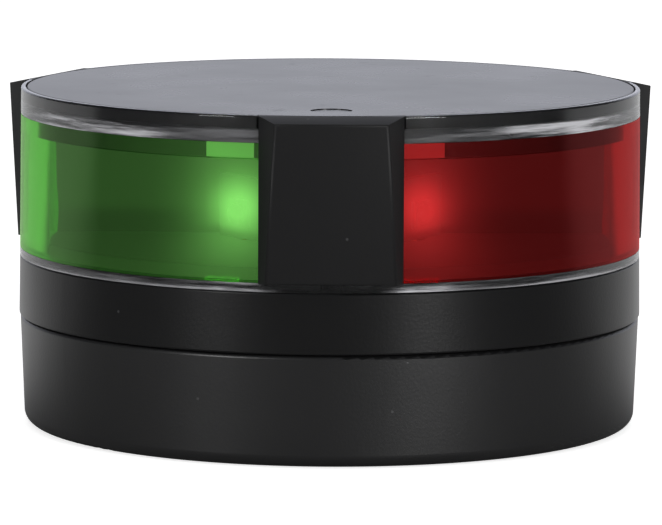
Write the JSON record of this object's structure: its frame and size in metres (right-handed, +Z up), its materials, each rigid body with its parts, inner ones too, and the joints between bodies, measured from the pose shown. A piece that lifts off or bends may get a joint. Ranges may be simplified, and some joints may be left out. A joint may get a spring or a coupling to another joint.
{
  "type": "navigation light",
  "caption": "Round bi-colour sidelight for a small boat: black twist-off deck base, clear lens cap with green and red windows, black top disc and black sector screens.",
  "frame": {"origin": "centre of the cable hole, in the plane of the mounting face", "axes": "+Z up out of the deck, -Y towards the bow, +X to port (the red side)"},
  "size_m": [0.0842, 0.0829, 0.0435],
  "materials": {
    "black_plastic": "satin moulded black plastic",
    "clear_plastic": "polished clear polycarbonate",
    "green_plastic": "polished transparent green polycarbonate",
    "red_plastic": "polished transparent red polycarbonate",
    "rubber": "matt black elastomer",
    "silicone": "translucent grey silicone",
    "white_plastic": "plain white moulded plastic",
    "black_board": "black solder mask",
    "circuit_board": "green solder mask",
    "led": "clear silicone dome over phosphor",
    "brass": "bright contact metal",
    "steel": "stainless steel",
    "component_black": "moulded component case",
    "component_tan": "ceramic"
  },
  "bodies": {
    "mount": {"mount_base": "black_plastic", "deck_gasket": "rubber", "cable_grommet": "rubber", "terminal_block": "white_plastic", "clamp_screws": "steel", "contact_leaves": "brass"},
    "head": {"head_ring": "black_plastic", "head_seal": "rubber", "lens_seal": "silicone", "clear_cap": "clear_plastic", "green_window": "green_plastic", "red_window": "red_plastic", "rear_blind": "black_plastic", "top_disc": "black_plastic", "bow_screen": "black_plastic", "port_screen": "black_plastic", "starboard_screen": "black_plastic", "light_core": "black_plastic", "port_tab": "white_plastic", "starboard_tab": "white_plastic", "divider": "black_plastic", "port_led_board": "black_board", "port_led": "led", "starboard_led_board": "black_board", "starboard_led": "led", "board_pins": "brass", "driver_board": "circuit_board", "board_screws": "steel", "cap_screws": "steel", "contact_rings": "brass", "inductor": "component_black", "regulator": "component_black", "bridge_rectifier": "component_black", "suppressor": "component_black", "capacitors": "component_tan", "resistors": "component_black"}
  },
  "joints": [
    {"name": "head_twist", "type": "hinge", "parent": "mount", "child": "head", "pos_m": [0, 0, 0.014], "axis": [0, 0, 1], "range_deg": [0, 30]}
  ]
}
